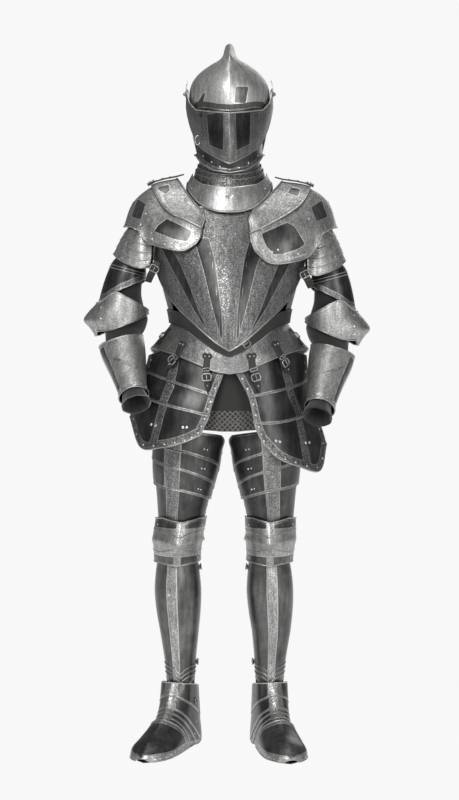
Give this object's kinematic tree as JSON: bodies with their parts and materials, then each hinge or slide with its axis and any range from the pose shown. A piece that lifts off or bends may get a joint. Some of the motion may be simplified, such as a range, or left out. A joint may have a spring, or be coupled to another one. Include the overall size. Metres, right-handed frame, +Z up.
{
  "type": "suit of plate armour",
  "caption": "Full suit of plate armour, standing: visored close helmet, gorget, cuirass with fauld and tassets, pauldrons, arm and leg plates, and sabatons.",
  "frame": {"origin": "on the floor, at the middle of the bounding box in plan", "axes": "+Z up, the armour faces -Y, its own left side is +X"},
  "size_m": [0.7136, 0.3716, 1.7534],
  "materials": {
    "plate_steel": "polished steel with bright etched bands, gilt-free, and darker blued panels",
    "leather": "dark oiled leather",
    "cloth": "matt dark wool"
  },
  "bodies": {
    "root": {"helmet_skull": "plate_steel", "helmet_bevor": "plate_steel", "gorget_lame_1": "plate_steel", "gorget_lame_2": "plate_steel", "gorget_lame_3": "plate_steel", "gorget_front": "plate_steel", "gorget_back": "plate_steel", "breastplate": "plate_steel", "backplate": "plate_steel", "waist_belt": "leather", "fauld": "plate_steel", "culet": "plate_steel", "brayette": "cloth", "tasset_R_1": "plate_steel", "tasset_R_2": "plate_steel", "tasset_R_3": "plate_steel", "tasset_strap_R_1": "leather", "tasset_strap_R_2": "leather", "hip_strap_R": "leather", "armpit_strap_R": "leather", "pauldron_upper_R": "plate_steel", "pauldron_R": "plate_steel", "pauldron_lames_R": "plate_steel", "rerebrace_R": "plate_steel", "couter_R": "plate_steel", "vambrace_R": "plate_steel", "sleeve_R": "cloth", "shoulder_strap_R": "leather", "cuisse_lames_R": "plate_steel", "cuisse_R": "plate_steel", "poleyn_R": "plate_steel", "greave_front_R": "plate_steel", "greave_back_R": "plate_steel", "sabaton_R": "plate_steel", "toe_cap_R": "plate_steel", "sole_R": "leather", "tasset_L_1": "plate_steel", "tasset_L_2": "plate_steel", "tasset_L_3": "plate_steel", "tasset_strap_L_1": "leather", "tasset_strap_L_2": "leather", "hip_strap_L": "leather", "armpit_strap_L": "leather", "pauldron_upper_L": "plate_steel", "pauldron_L": "plate_steel", "pauldron_lames_L": "plate_steel", "rerebrace_L": "plate_steel", "couter_L": "plate_steel", "vambrace_L": "plate_steel", "sleeve_L": "cloth", "shoulder_strap_L": "leather", "cuisse_lames_L": "plate_steel", "cuisse_L": "plate_steel", "poleyn_L": "plate_steel", "greave_front_L": "plate_steel", "greave_back_L": "plate_steel", "sabaton_L": "plate_steel", "toe_cap_L": "plate_steel", "sole_L": "leather"},
    "visor": {"helmet_visor": "plate_steel"}
  },
  "joints": [
    {"name": "visor", "type": "hinge", "parent": "root", "child": "visor", "pos_m": [0.0065, 0.04081, 1.628], "axis": [-1, 0, 0], "range_deg": [0, 45]}
  ]
}
